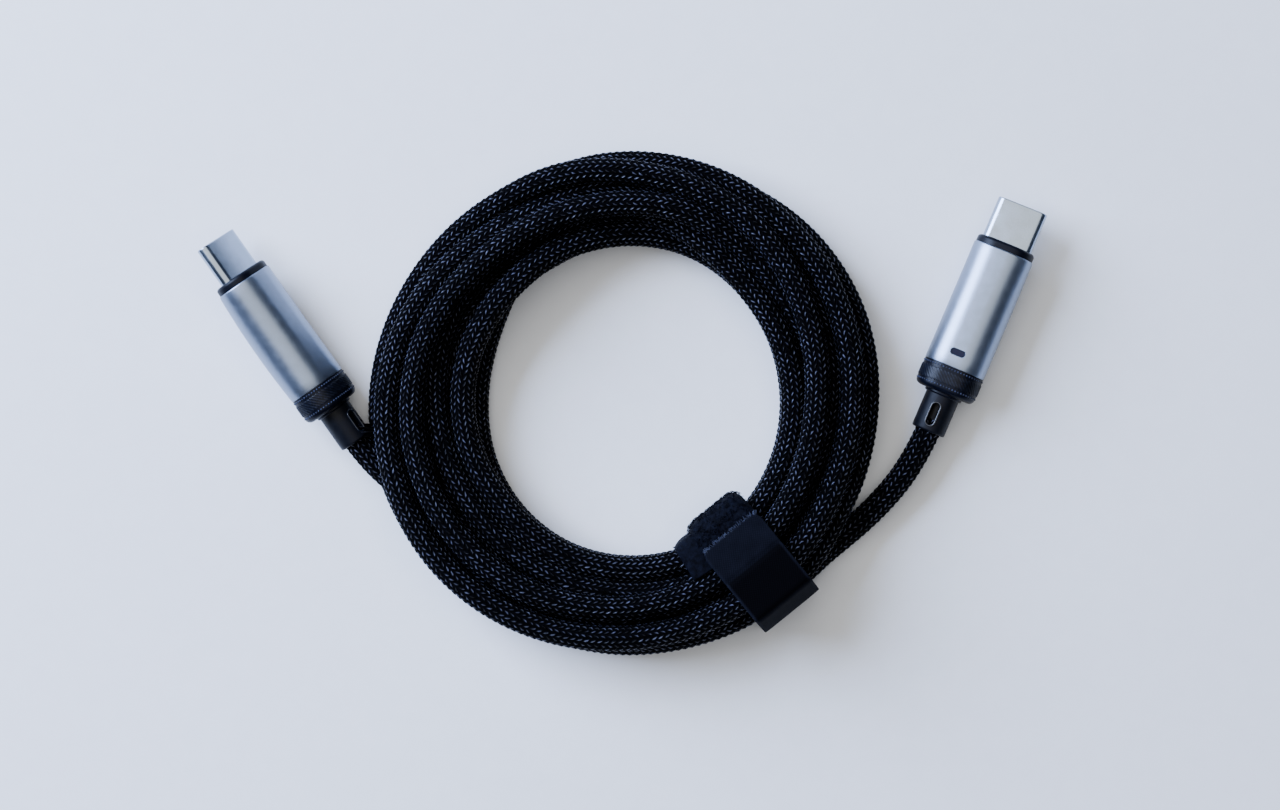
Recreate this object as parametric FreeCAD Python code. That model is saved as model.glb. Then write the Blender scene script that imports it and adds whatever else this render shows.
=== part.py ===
import FreeCAD, Part
import math
import os

from FreeCAD import Placement, Rotation, Vector

# A charging cable with the same flat-oval, 24-contact plug at both ends, wound
# in a coil and tied with a hook-and-loop strap.  Millimetres, +Z up.  The origin
# is on the table under the middle of the whole object.  Both plugs are built
# lying along +X in their own frame, from the cord's end of the strain relief
# (x = 0) to the tip of the metal shell, broad face up, and are then laid down.

# ---- cord -------------------------------------------------------------
cord_diameter = 4.15          # over the braid
jacket_diameter = 3.5         # inner jacket, where the braid is stripped
braid_end = 2.0               # how far the braid goes into the strain relief

# ---- plug, stations along its length -------------------------------------
relief_length = 6.3           # strain relief outside the collar
flange_back = 7.5             # its hidden flange inside the collar
flange_front = 8.4
collar_front = 10.85          # front edge of the rear collar's outside
spigot_front = 12.2           # front of the rear collar's spigot
sleeve_front = 31.0           # front edge of the aluminium sleeve
front_spigot = 30.2           # back of the front collar's spigot
front_collar_front = 32.25
shell_back = 28.4             # back of the metal shell, buried in the moulding
shell_front = 38.9            # tip of the metal shell

# ---- plug, sections (width across the broad face, thickness) --------------------
sleeve_width = 10.05
sleeve_rear_thickness = 8.1
sleeve_front_thickness = 7.7
sleeve_belly = 0.65           # how far the lower broad face bulges at mid-length
sleeve_inner = (8.9, 6.9)
spigot_section = (8.85, 6.85)
collar_section = (10.0, 8.05)
relief_section = (5.5, 5.2)
flange_section = (6.5, 6.1)
front_collar_section = (9.6, 7.3)
shell_section = (8.25, 2.40)  # the size of every plug of this standard
shell_wall = 0.3
cavity_section = (6.75, 0.84)
mould_section = (8.75, 6.75)

# ---- inside the plug ----------------------------------------------------
can_back = 12.4
can_front = 28.2
can_section = (7.8, 3.8)
can_wall = 0.2
board_back = 12.8
board_thickness = 0.6
contact_pitch = 0.5
contact_count = 12
contact_width = 0.26
contact_thickness = 0.12
core_radius = 0.36
core_pitch = 0.76
ferrule_length = 2.8
ferrule_wall = 0.4
jacket_end = 10.0             # where the inner jacket stops and the cores come out
light_station = 13.3          # the status light, behind its window in the sleeve
window_length = 2.3           # across the plug
window_width = 0.85

# ---- how the plugs lie ----------------------------------------------------
# cord end of the strain relief, heading of the shell, pitch and roll
right_plug = dict(place=(48.4, -4.5, 4.11), heading=67.2, pitch=2.0, roll=-12.0)
left_plug = dict(place=(-42.65, -6.1, 4.12), heading=124.7, pitch=5.0, roll=49.0)

# ---- coil ---------------------------------------------------------------
coil_radius = 40.65
hole_radius = 23.3
hole_centre = (1.9, 0.3)
coil_height = 11.6
held_height = 13.0            # the turns ride up on each other where the strap holds them
coil_top_round = 3.0
coil_bottom_round = 2.0

# ---- strap: stations are radii from the coil's centre along its bearing ----------
strap_bearing = -51.0         # degrees
strap_width = 11.0
band_thickness = 0.9
tail_thickness = 0.7
band_inner_side = 21.95       # where the band comes down inside the coil
band_bend = 4.75
band_outer_end = 39.0         # its end on top of the coil, under the tail
band_join = 38.5              # where band and tail are sewn together underneath
tail_side = 42.6
tail_shoulder = 41.0
tab_hinge = 32.1              # the crease about which the free end peels up
tab_end = 26.7
hook_thickness = 0.25
strap_side_gap = 0.3          # between the strap's edges and the coil
strap_top_gap = 0.15          # between the band and the turns under it
coil_in_strap = (25.0, 41.4, 1.1)   # inner and outer radius, bottom
coil_held_round = 2.6
peel_gap = 0.1                # between the hooks and the loop pile

# ---- the cord's leads, from inside the strain relief to inside the coil ----------
right_route = [(40.2, -17.0, 3.0), (31.0, -24.6, 2.6)]
right_straight = 5.0          # straight length outside the strain relief
left_route = [(-35.9, -13.3, 2.5), (-30.4, -18.2, 2.1)]
left_straight = 3.0


def save(node, shape):
    """Write one node's solid or group of solids."""
    if not shape.isValid():
        print("NOT VALID", node)
    solids = shape.Solids
    if not solids or not all(solid.isClosed() for solid in solids):
        print("NOT CLOSED", node)
    shape.exportStep("parts/" + node + ".step")
    print("%-24s %2d solid(s) %9.2f mm3" % (node, len(solids), shape.Volume))


def stadium_wire(x, section, centre_z=0.0):
    """A flattened oval across the plug at station x: two flats and two half circles."""
    width, thickness = section
    radius = thickness / 2
    flat = width / 2 - radius
    top, bottom = centre_z + radius, centre_z - radius
    left_arc = Part.Arc(Vector(x, flat, top), Vector(x, flat + radius, centre_z), Vector(x, flat, bottom))
    right_arc = Part.Arc(Vector(x, -flat, bottom), Vector(x, -flat - radius, centre_z), Vector(x, -flat, top))
    return Part.Wire([
        Part.LineSegment(Vector(x, -flat, top), Vector(x, flat, top)).toShape(),
        left_arc.toShape(),
        Part.LineSegment(Vector(x, flat, bottom), Vector(x, -flat, bottom)).toShape(),
        right_arc.toShape(),
    ])


def stadium(back, front, section):
    """A straight bar of stadium section from one station to another."""
    face = Part.Face(stadium_wire(back, section))
    return face.extrude(Vector(front - back, 0, 0))


def cylinder_x(back, front, radius, y=0.0, z=0.0):
    return Part.makeCylinder(radius, front - back, Vector(back, y, z), Vector(1, 0, 0))


def block(back, front, width, bottom, top, centre_y=0.0):
    corner = Vector(back, centre_y - width / 2, bottom)
    return Part.makeBox(front - back, width, top - bottom, corner)


def pill(length, width, bottom, top, centre, along_x):
    """An upright slot-shaped prism, long along X or along Y."""
    half = (length - width) / 2
    step = Vector(half, 0, 0) if along_x else Vector(0, half, 0)
    ends = [Vector(centre[0], centre[1], bottom) + step, Vector(centre[0], centre[1], bottom) - step]
    shape = Part.makeCylinder(width / 2, top - bottom, ends[0])
    shape = shape.fuse(Part.makeCylinder(width / 2, top - bottom, ends[1]))
    size = (2 * half, width) if along_x else (width, 2 * half)
    corner = Vector(centre[0] - size[0] / 2, centre[1] - size[1] / 2, bottom)
    return shape.fuse(Part.makeBox(size[0], size[1], top - bottom, corner)).removeSplitter()


def edges_at(shape, station):
    """The edges that lie wholly in the plane x = station."""
    return [edge for edge in shape.Edges
            if abs(edge.BoundBox.XMin - station) < 1e-4 and abs(edge.BoundBox.XMax - station) < 1e-4]


def outer_edges_at(shape, station, reach):
    """The edges in the plane x = station that reach at least this far from the plug's axis."""
    found = []
    for edge in edges_at(shape, station):
        middle = edge.valueAt((edge.FirstParameter + edge.LastParameter) / 2)
        if math.hypot(middle.y, middle.z) > reach:
            found.append(edge)
    return found


# ---- pieces of a plug ------------------------------------------------------
def make_shell():
    outer = stadium(shell_back, shell_front, shell_section)
    outer = outer.makeFillet(0.28, edges_at(outer, shell_front))
    inner = (shell_section[0] - 2 * shell_wall, shell_section[1] - 2 * shell_wall)
    return outer.cut(stadium(shell_back, shell_front, inner))


def make_contacts(side):
    """Twelve spring strips on the upper (side 1) or lower (side -1) face of the cavity."""
    near = board_thickness / 2
    far = near + contact_thickness
    bottom, top = (near, far) if side > 0 else (-far, -near)
    strips = []
    for index in range(contact_count):
        y = (index - (contact_count - 1) / 2) * contact_pitch
        strips.append(block(27.2, 37.2, contact_width, bottom, top, y))
    return Part.makeCompound(strips)


def make_latch_plate():
    """The mid-plate between the contact rows, with the two side arms that hold the plug in."""
    plate = block(29.4, 31.9, 6.6, -0.1, 0.1)
    for side in (1, -1):
        arm = block(31.9, 37.9, 0.22, -0.1, 0.1, side * 3.19)
        hook = block(37.2, 37.9, 0.3, -0.1, 0.1, side * 2.93)
        plate = plate.fuse(arm).fuse(hook)
    return plate.removeSplitter()


def make_ground_springs():
    springs = []
    for side in (1, -1):
        bottom, top = (0.32, 0.42) if side > 0 else (-0.42, -0.32)
        springs.append(block(37.4, 38.1, 4.8, bottom, top))
    return Part.makeCompound(springs)


def make_insulator(contacts, plate):
    lining = (shell_section[0] - 2 * shell_wall, shell_section[1] - 2 * shell_wall)
    body = stadium(shell_back, 38.5, lining)
    cavity = block(32.4, 38.5, cavity_section[0], -cavity_section[1] / 2, cavity_section[1] / 2)
    return body.cut(cavity).cut(Part.makeCompound(contacts.Solids + plate.Solids))


def make_board():
    width = can_section[0] - 2 * can_wall
    return block(board_back, shell_back, width, -board_thickness / 2, board_thickness / 2)


def make_capacitors():
    top = board_thickness / 2
    places = [(18.6, 1.6), (18.6, -1.6), (19.9, 1.6), (19.9, -1.6), (25.4, 2.2), (25.4, -2.2)]
    return Part.makeCompound([block(x - 0.5, x + 0.5, 0.5, top, top + 0.5, y) for x, y in places])


def make_can(with_window):
    width, height = can_section
    can = block(can_back, can_front, width, -height / 2, height / 2)
    can = can.makeFillet(0.6, [e for e in can.Edges if abs(e.tangentAt(e.FirstParameter).x) > 0.99])
    inside = block(can_back + can_wall, can_front, width - 2 * can_wall,
                   can_wall - height / 2, height / 2 - can_wall)
    inside = inside.makeFillet(0.4, [e for e in inside.Edges if abs(e.tangentAt(e.FirstParameter).x) > 0.99])
    cable_hole = block(can_back - 1, can_back + 1, 4.4, -1.3, 0.2)
    can = can.cut(inside).cut(cable_hole)
    if with_window:
        can = can.cut(pill(window_length, window_width, 0, 4, (light_station, 0), False))
    return can


def make_mould(with_window):
    body = stadium(spigot_front, front_spigot, mould_section)
    width, height = can_section
    can = block(can_back, can_front, width, -height / 2, height / 2)
    can = can.makeFillet(0.6, [e for e in can.Edges if abs(e.tangentAt(e.FirstParameter).x) > 0.99])
    lead_in = block(spigot_front, can_back, 5.4, -2.7, 2.7)
    body = body.cut(can).cut(lead_in).cut(stadium(shell_back, front_spigot, shell_section))
    gap = block(can_front, shell_back, 7.4, -0.6, 0.6)
    body = body.cut(gap)
    if with_window:
        body = body.cut(pill(window_length, window_width, 0, 4, (light_station, 0), False))
    return body


def make_front_collar():
    rim = stadium(sleeve_front, front_collar_front, front_collar_section)
    rim = rim.makeFillet(0.55, edges_at(rim, front_collar_front))
    spigot = stadium(front_spigot, sleeve_front, spigot_section)
    return rim.fuse(spigot).cut(stadium(front_spigot, front_collar_front, shell_section)).removeSplitter()


def make_sleeve(with_window):
    """The aluminium barrel: straight on top and at the sides, with a belly under it."""
    length = sleeve_front - collar_front
    wires = []
    for part, belly in ((0.0, 0.1), (0.25, 0.75), (0.5, 1.0), (0.75, 0.7), (1.0, 0.0)):
        drop = sleeve_belly * belly
        thickness = sleeve_rear_thickness + part * (sleeve_front_thickness - sleeve_rear_thickness) + drop
        width = sleeve_width - 0.1 * part
        wires.append(stadium_wire(collar_front + part * length, (width, thickness), -drop / 2))
    barrel = Part.makeLoft(wires, True, False)
    sleeve = barrel.cut(stadium(collar_front, sleeve_front, sleeve_inner))
    if with_window:
        sleeve = sleeve.cut(pill(window_length, window_width, 0, 6, (light_station, 0), False))
    return sleeve


def make_rear_collar():
    """The black cap behind the sleeve: rounded shoulder, lip round the strain relief, spigot."""
    cap = stadium(relief_length + 0.2, collar_front, collar_section)
    cap = cap.makeFillet(0.9, edges_at(cap, relief_length + 0.2))
    lip_section = (relief_section[0] + 0.7, relief_section[1] + 0.7)
    lip = stadium(relief_length - 0.25, relief_length + 0.7, lip_section)
    spigot = stadium(collar_front, spigot_front, spigot_section)
    collar = cap.fuse(lip).fuse(spigot).removeSplitter()
    collar = collar.cut(stadium(relief_length - 1, flange_back, relief_section))
    collar = collar.cut(stadium(flange_back, flange_front, flange_section))
    return collar.cut(cylinder_x(flange_front, spigot_front, jacket_diameter / 2 + ferrule_wall))


def make_strain_relief():
    """The soft grip on the cord, with one open slot in its broad face."""
    grip = stadium(0, flange_back, relief_section)
    grip = grip.makeFillet(0.35, edges_at(grip, 0))
    flange = stadium(flange_back, flange_front, flange_section)
    relief = grip.fuse(flange).removeSplitter()
    relief = relief.cut(cylinder_x(0, braid_end, cord_diameter / 2))
    relief = relief.cut(cylinder_x(braid_end, flange_front, jacket_diameter / 2))
    return relief.cut(pill(3.7, 1.3, 0.5, 4, (2.85, 0), True))


def make_ferrule():
    back, front = flange_front, flange_front + ferrule_length
    radius = jacket_diameter / 2
    return cylinder_x(back, front, radius + ferrule_wall).cut(cylinder_x(back, front, radius))


def make_cores():
    """Four insulated cores, soldered under the board."""
    height = -board_thickness / 2 - core_radius
    places = [(index - 1.5) * core_pitch for index in range(4)]
    return Part.makeCompound([cylinder_x(jacket_end, 14.6, core_radius, y, height) for y in places])


def plug_pieces(with_window):
    """Every piece of one plug, in the plug's own frame."""
    upper, lower = make_contacts(1), make_contacts(-1)
    plate = make_latch_plate()
    pieces = {
        "plug_shell": make_shell(),
        "contacts_upper": upper,
        "contacts_lower": lower,
        "latch_plate": plate,
        "ground_springs": make_ground_springs(),
        "insulator": make_insulator(Part.makeCompound([upper, lower]), plate),
        "circuit_board": make_board(),
        "cable_chip": block(21.0, 24.0, 3.0, board_thickness / 2, board_thickness / 2 + 0.8),
        "capacitors": make_capacitors(),
        "shield_can": make_can(with_window),
        "inner_moulding": make_mould(with_window),
        "front_collar": make_front_collar(),
        "sleeve": make_sleeve(with_window),
        "rear_collar": make_rear_collar(),
        "strain_relief": make_strain_relief(),
        "inner_jacket": cylinder_x(braid_end, jacket_end, jacket_diameter / 2),
        "crimp_ferrule": make_ferrule(),
        "wire_cores": make_cores(),
    }
    if with_window:
        top = board_thickness / 2
        pieces["status_light"] = block(light_station - 0.3, light_station + 0.3, 1.6, top, top + 0.5)
        pieces["light_window"] = pill(window_length, window_width, top + 0.5, 3.95, (light_station, 0), False)
    return pieces


# ---- laying things down ------------------------------------------------------
def plug_placement(plug):
    turn = Rotation(Vector(0, 0, 1), plug["heading"])
    turn = turn.multiply(Rotation(Vector(0, 1, 0), -plug["pitch"]))
    turn = turn.multiply(Rotation(Vector(1, 0, 0), plug["roll"]))
    return Placement(Vector(*plug["place"]), turn)


def laid(shape, placement):
    """A copy of the shape with the placement baked into it."""
    return shape.transformed(placement.toMatrix(), True)


def rounded_wire(points, radii):
    """Straight runs between the points, joined by tangent arcs of the given radii."""
    edges, start = [], points[0]
    for index in range(1, len(points) - 1):
        corner = points[index]
        back = (points[index - 1] - corner).normalize()
        ahead = (points[index + 1] - corner).normalize()
        half_turn = (math.pi - back.getAngle(ahead)) / 2
        reach = radii[index - 1] * math.tan(half_turn)
        first, last = corner + back * reach, corner + ahead * reach
        inward = (back + ahead).normalize()
        middle = corner + inward * (radii[index - 1] / math.cos(half_turn) - radii[index - 1])
        edges.append(Part.LineSegment(start, first).toShape())
        edges.append(Part.Arc(first, middle, last).toShape())
        start = last
    edges.append(Part.LineSegment(start, points[-1]).toShape())
    return Part.Wire(edges)


def lead(node, plug, straight, route):
    """A tube of cord from the end of the braid in the strain relief to inside the coil."""
    placement = plug_placement(plug)
    points = [placement.multVec(Vector(braid_end, 0, 0)), placement.multVec(Vector(-straight, 0, 0))]
    points += [Vector(*point) for point in route]
    radii = []
    for before, corner, after in zip(points, points[1:], points[2:]):
        half_turn = (math.pi - (before - corner).getAngle(after - corner)) / 2
        run = min((before - corner).Length, (after - corner).Length)
        radii.append(0.45 * run / math.tan(half_turn))
    wire = rounded_wire(points, radii)
    circle = Part.Circle(points[0], points[1] - points[0], cord_diameter / 2)
    tube = wire.makePipeShell([Part.Wire(circle.toShape())], True, False)
    share = tube.Volume / (math.pi * (cord_diameter / 2) ** 2 * wire.Length)
    print(node, "points", [tuple(round(value, 2) for value in point) for point in points])
    print(node, "radii", [round(radius, 1) for radius in radii], "length %.1f" % wire.Length,
          "volume share %.4f" % share)
    return tube


def strap_frame():
    """X of this frame runs outwards along the strap's bearing, Y up, Z across the strap."""
    bearing = math.radians(strap_bearing)
    out = Vector(math.cos(bearing), math.sin(bearing), 0)
    matrix = FreeCAD.Matrix()
    up = Vector(0, 0, 1)
    across = out.cross(up)
    for column, axis in enumerate((out, up, across)):
        for row, value in enumerate((axis.x, axis.y, axis.z)):
            matrix.A = [value if i == row * 4 + column else old for i, old in enumerate(matrix.A)]
    return Placement(matrix)


def ribbon(stations, radii, thickness, width=strap_width):
    """A strip of strap that follows (radius, height) stations in the strap's own plane."""
    points = [Vector(out, height, -width / 2) for out, height in stations]
    path = rounded_wire(points, radii)
    side = (points[1] - points[0]).normalize().cross(Vector(0, 0, 1)) * (thickness / 2)
    corners = [points[0] + side, points[0] - side]
    corners += [corners[1] + Vector(0, 0, width), corners[0] + Vector(0, 0, width)]
    profile = Part.makePolygon(corners + corners[:1])
    return path.makePipeShell([profile], True, False)


def coil_section_box(low_radius, high_radius, low, high, width):
    return Part.makeBox(high_radius - low_radius, high - low, width, Vector(low_radius, low, -width / 2))


def make_ring(height):
    """A flat ring with rounded edges and its hole off centre."""
    ring = Part.makeCylinder(coil_radius, height)
    ring = ring.cut(Part.makeCylinder(hole_radius, height, Vector(hole_centre[0], hole_centre[1], 0)))
    ring = ring.makeFillet(coil_top_round, edges_level(ring, height))
    return ring.makeFillet(coil_bottom_round, edges_level(ring, 0))


def make_coil(frame):
    """The outer shape of the whole coil, waisted where the strap holds it."""
    slab_width = strap_width + 2 * strap_side_gap
    slab = laid(coil_section_box(0, 60, -5, 20, slab_width), frame)
    low_radius, high_radius, low = coil_in_strap
    held = coil_section_box(low_radius, high_radius, low, held_height, slab_width)
    corners = [edge for edge in held.Edges if abs(edge.tangentAt(edge.FirstParameter).z) > 0.99]
    held = laid(held.makeFillet(coil_held_round, corners), frame)
    return make_ring(coil_height).cut(slab).fuse(make_ring(held_height).common(held)).removeSplitter()


def edges_level(shape, height):
    return [edge for edge in shape.Edges
            if abs(edge.BoundBox.ZMin - height) < 1e-4 and abs(edge.BoundBox.ZMax - height) < 1e-4]


def strap_pieces(frame):
    """The band with its loop pile outside, the smooth tail sewn to it, and the tail's free end."""
    band_low = band_thickness / 2
    band_high = held_height + strap_top_gap + band_thickness / 2
    band = ribbon([(band_outer_end, band_high), (band_inner_side, band_high),
                   (band_inner_side, band_low), (band_join, band_low)],
                  [band_bend, band_bend], band_thickness)
    tail_low = tail_thickness / 2
    tail_high = band_high + band_thickness / 2 + hook_thickness + peel_gap + tail_thickness / 2
    tail = ribbon([(band_join, tail_low), (tail_side, tail_low), (tail_side, tail_high - 1.6),
                   (tail_shoulder, tail_high), (tab_hinge, tail_high)],
                  [1.2, 0.9, 0.9], tail_thickness)
    top = tail_high + tail_thickness / 2
    half = strap_width / 2
    tab_start = tab_hinge - peel_gap
    tab = Part.makeBox(tab_start - tab_end, tail_thickness, strap_width,
                       Vector(tab_end, top - tail_thickness, -half))
    corners = [edge for edge in tab.Edges if abs(edge.tangentAt(edge.FirstParameter).y) > 0.99
               and edge.BoundBox.XMax < tab_end + 1e-3]
    tab = tab.makeFillet(1.2, corners)
    hooks = Part.makeBox(4.2, hook_thickness, strap_width - 1.0,
                         Vector(tab_end + 0.4, top - tail_thickness - hook_thickness, -half + 0.5))
    hinge = frame.multVec(Vector(tab_start, top, 0))
    across = frame.Rotation.multVec(Vector(0, 0, 1))
    print("peel hinge at", [round(value, 3) for value in hinge], "axis",
          [round(value, 5) for value in across], "strap top %.2f" % top)
    shapes = {"strap_band": band, "strap_tail": tail, "strap_tab": tab, "hook_patch": hooks}
    return {node: laid(shape, frame) for node, shape in shapes.items()}


def main():
    os.makedirs("parts", exist_ok=True)
    everything = []

    def keep(node, shape):
        save(node, shape)
        everything.append(shape)

    for side, plug, with_window in (("left", left_plug, False), ("right", right_plug, True)):
        placement = plug_placement(plug)
        pieces = plug_pieces(with_window)
        for name, shape in pieces.items():
            keep(side + "_" + name, laid(shape, placement))
        lowest = min(laid(shape, placement).optimalBoundingBox().ZMin for shape in pieces.values())
        print(side, "plug's lowest point %.3f" % lowest)

    frame = strap_frame()
    keep("cable_coil", make_coil(frame))
    keep("left_lead", lead("left_lead", left_plug, left_straight, left_route))
    keep("right_lead", lead("right_lead", right_plug, right_straight, right_route))
    for node, shape in strap_pieces(frame).items():
        keep(node, shape)

    box = Part.makeCompound(everything).optimalBoundingBox()
    print("box x %.2f %.2f  y %.2f %.2f  z %.2f %.2f" % (box.XMin, box.XMax, box.YMin, box.YMax,
                                                       box.ZMin, box.ZMax))


main()
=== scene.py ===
import math

import bmesh
import bpy
import numpy as np
from mathutils import Matrix, Vector


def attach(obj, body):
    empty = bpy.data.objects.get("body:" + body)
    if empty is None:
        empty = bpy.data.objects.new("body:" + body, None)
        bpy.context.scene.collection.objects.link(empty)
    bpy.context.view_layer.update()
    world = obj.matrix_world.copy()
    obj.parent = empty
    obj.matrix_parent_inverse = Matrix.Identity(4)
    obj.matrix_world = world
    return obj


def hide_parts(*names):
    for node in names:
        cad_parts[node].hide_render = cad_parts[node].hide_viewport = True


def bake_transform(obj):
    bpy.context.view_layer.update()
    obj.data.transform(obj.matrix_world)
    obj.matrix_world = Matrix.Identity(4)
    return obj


# A braided charging cable, wound in a loose coil and tied with a hook-and-loop strap.
# Sizes are in millimetres in the dictionaries and become metres when a piece is finished.

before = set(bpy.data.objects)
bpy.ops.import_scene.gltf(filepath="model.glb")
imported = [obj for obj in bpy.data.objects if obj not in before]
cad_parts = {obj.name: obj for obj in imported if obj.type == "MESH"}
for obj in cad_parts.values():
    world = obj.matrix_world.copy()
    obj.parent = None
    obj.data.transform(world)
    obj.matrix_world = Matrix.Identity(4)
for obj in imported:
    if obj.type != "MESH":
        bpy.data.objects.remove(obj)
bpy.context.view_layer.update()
mm = 0.001
cableBody, strapBody = "cable", "strap_end"


def tone(code):  # an sRGB hex colour as the linear values that the shaders work in
    parts = [int(code[i:i + 2], 16) / 255 for i in (1, 3, 5)]
    return [p / 12.92 if p <= 0.04045 else ((p + 0.055) / 1.055) ** 2.4 for p in parts] + [1.0]


def addNode(tree, kind, inputs=None, **settings):
    node = tree.nodes.new("ShaderNode" + kind)
    for name, value in settings.items():
        setattr(node, name, value)
    for name, value in (inputs or {}).items():
        if isinstance(value, bpy.types.NodeSocket):
            tree.links.new(value, node.inputs[name])
        else:
            node.inputs[name].default_value = value
    return node


def startFinish(name, look):  # a new material with the shader's own sockets set
    material = bpy.data.materials.new(name)
    material.use_nodes = True
    shader = material.node_tree.nodes["Principled BSDF"]
    for socket, value in look.items():
        shader.inputs[socket].default_value = value
    return material, material.node_tree, shader


def grainFinish(name, look, dark, light, grit, height, roughRange=None):
    # a fine even grain, grit and height in mm: two close tones, a shallow bump,
    # and a little change of gloss in clouds fourteen grains wide
    material, tree, shader = startFinish(name, look)
    place = addNode(tree, "TexCoord")
    grain = addNode(tree, "TexNoise", {"Vector": place.outputs["Object"], "Scale": 1 / (grit * mm),
                                       "Detail": 3.0, "Roughness": 0.6})
    cloud = addNode(tree, "TexNoise", {"Vector": place.outputs["Object"], "Scale": 1 / (grit * 14 * mm),
                                       "Detail": 2.0})
    both = addNode(tree, "Math", {0: grain.outputs[0], 1: cloud.outputs[0]}, operation="ADD")
    spread = addNode(tree, "MapRange", {"Value": both.outputs[0], "From Min": 0.6, "From Max": 1.4})
    tint = addNode(tree, "Mix", {0: spread.outputs[0], 6: tone(dark), 7: tone(light)}, data_type="RGBA")
    bump = addNode(tree, "Bump", {"Strength": 1.0, "Distance": height * mm, "Height": grain.outputs[0]})
    tree.links.new(tint.outputs[2], shader.inputs["Base Color"])
    tree.links.new(bump.outputs[0], shader.inputs["Normal"])
    if roughRange:
        gloss = addNode(tree, "MapRange", {"Value": cloud.outputs[0], "From Min": 0.3, "From Max": 0.7,
                                           "To Min": roughRange[0], "To Max": roughRange[1]})
        tree.links.new(gloss.outputs[0], shader.inputs["Roughness"])
    return material


def keepMesh(shape, name):  # the bmesh as a mesh
    mesh = bpy.data.meshes.new(name)
    shape.to_mesh(mesh)
    shape.free()
    return mesh


def addCopy(shape, mesh, place):  # adds one more of the mesh to the bmesh
    one = mesh.copy()
    one.transform(place)
    shape.from_mesh(one)
    bpy.data.meshes.remove(one)


def addObject(name, data):  # a new object in the scene
    holder = bpy.data.objects.new(name, data)
    bpy.context.scene.collection.objects.link(holder)
    return holder


def finishPiece(shape, name, material, place=None, body=cableBody, sharp=35):
    # writes the bmesh as a piece in metres, closed and facing outwards, and fixes it to its body
    bmesh.ops.remove_doubles(shape, verts=shape.verts, dist=1e-5)
    bmesh.ops.recalc_face_normals(shape, faces=shape.faces)
    bmesh.ops.transform(shape, matrix=(place or Matrix()) @ Matrix.Scale(mm, 4), verts=shape.verts)
    openEdges = sum(1 for edge in shape.edges if not edge.is_manifold)
    return finishMesh(keepMesh(shape, name), name, material, body, sharp, openEdges)


def finishMesh(mesh, name, material, body=cableBody, sharp=35, openEdges=0):
    mesh.materials.clear()
    mesh.materials.append(material)
    mesh.polygons.foreach_set("use_smooth", [True] * len(mesh.polygons))
    mesh.set_sharp_from_angle(angle=math.radians(sharp))
    piece = addObject(name, mesh)
    if body:                                                 # a piece without a body is left unattached
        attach(piece, body)
    print("made", name, len(mesh.polygons), "faces", f"({openEdges} open edges)" if openEdges else "")
    return piece


# pale is a glint painted on the stitch crowns, and patch is the size of its patches
braid = {"slope": 1.0, "filaments": 4, "bump": 0.36, "dark": "#010103", "pale": "#50556f", "gloss": 0.34,
         "patch": 1.3}                                       # lengths in mm; slope in columns a stitch


def makeBraid():
    # braided nylon: black filament yarn in slanting stitches, each stitch's crown painted with a thin pale
    # blue-white glint, patchy along the cord, beside the real gloss
    material, tree, shader = startFinish("blackNylonBraid", {"IOR": 1.53})
    place = addNode(tree, "UVMap", uv_map="UVMap")
    parts = addNode(tree, "SeparateXYZ", {0: place.outputs[0]})
    spot = addNode(tree, "TexCoord")
    # painted glint: a noise that makes the pale crowns patchy
    glintPatches = addNode(tree, "TexNoise", {"Vector": spot.outputs["Object"], "Scale": 1 / (braid["patch"] * mm),
                                      "Detail": 3.0})
    # along is counted in stitches and around in columns of stitches
    # odd columns lean the other way and start half a stitch on
    made = {"along": parts.outputs[0], "around": parts.outputs[1], "glintPatches": glintPatches.outputs[0]}
    for name, kind, *values in (
            ("column", "ADD", "around", 0.5),
            ("whole", "FLOOR", "column"),
            ("odd", "PINGPONG", "whole", 1.0),
            ("across", "FRACT", "column"),
            ("fromMiddle", "SUBTRACT", "across", 0.5),
            ("way", "MULTIPLY_ADD", "odd", -2.0, 1.0),
            ("lean", "MULTIPLY", "way", "fromMiddle"),
            ("shifted", "MULTIPLY_ADD", "odd", 0.5, "along"),
            ("phase", "MULTIPLY_ADD", "lean", braid["slope"], "shifted"),
            ("part", "FRACT", "phase"),
            ("halfTurn", "MULTIPLY", "part", math.pi),
            ("crown", "SINE", "halfTurn"),
            ("endTurn", "MULTIPLY", "across", math.pi),
            ("ends", "SINE", "endTurn"),
            ("taper", "POWER", "ends", 0.6),
            ("hump", "MULTIPLY", "crown", "taper"),          # one rounded stitch
            ("twist", "MULTIPLY", "phase", braid["filaments"] * 2 * math.pi),
            ("filaments", "SINE", "twist"),
            ("height", "MULTIPLY_ADD", "filaments", 0.07, "hump"),
            ("patchy", "MULTIPLY_ADD", "glintPatches", 0.9, 0.55),
            ("shown", "MULTIPLY", "hump", "patchy")):
        made[name] = addNode(tree, "Math", {i: made.get(value, value) for i, value in enumerate(values)},
                             operation=kind).outputs[0]
    bump = addNode(tree, "Bump", {"Strength": 1.0, "Distance": braid["bump"] * mm, "Height": made["height"]})
    # painted glint: the pale tone on the stitch crowns stands in for their highlights
    pale = addNode(tree, "MapRange", {"Value": made["shown"], "From Min": 0.84, "From Max": 1.16})
    tint = addNode(tree, "Mix", {0: pale.outputs[0], 6: tone(braid["dark"]), 7: tone(braid["pale"])},
                   data_type="RGBA")
    rough = addNode(tree, "MapRange", {"Value": made["hump"], "From Min": 0.6, "From Max": 0.95,
                                       "To Min": 0.9, "To Max": braid["gloss"]})
    shine = addNode(tree, "MapRange", {"Value": made["shown"], "From Min": 0.7, "From Max": 1.05,
                                       "To Min": 0.03, "To Max": 0.4})
    tree.links.new(tint.outputs[2], shader.inputs["Base Color"])
    tree.links.new(rough.outputs[0], shader.inputs["Roughness"])
    tree.links.new(shine.outputs[0], shader.inputs["Specular IOR Level"])
    tree.links.new(bump.outputs[0], shader.inputs["Normal"])
    return material


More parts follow.
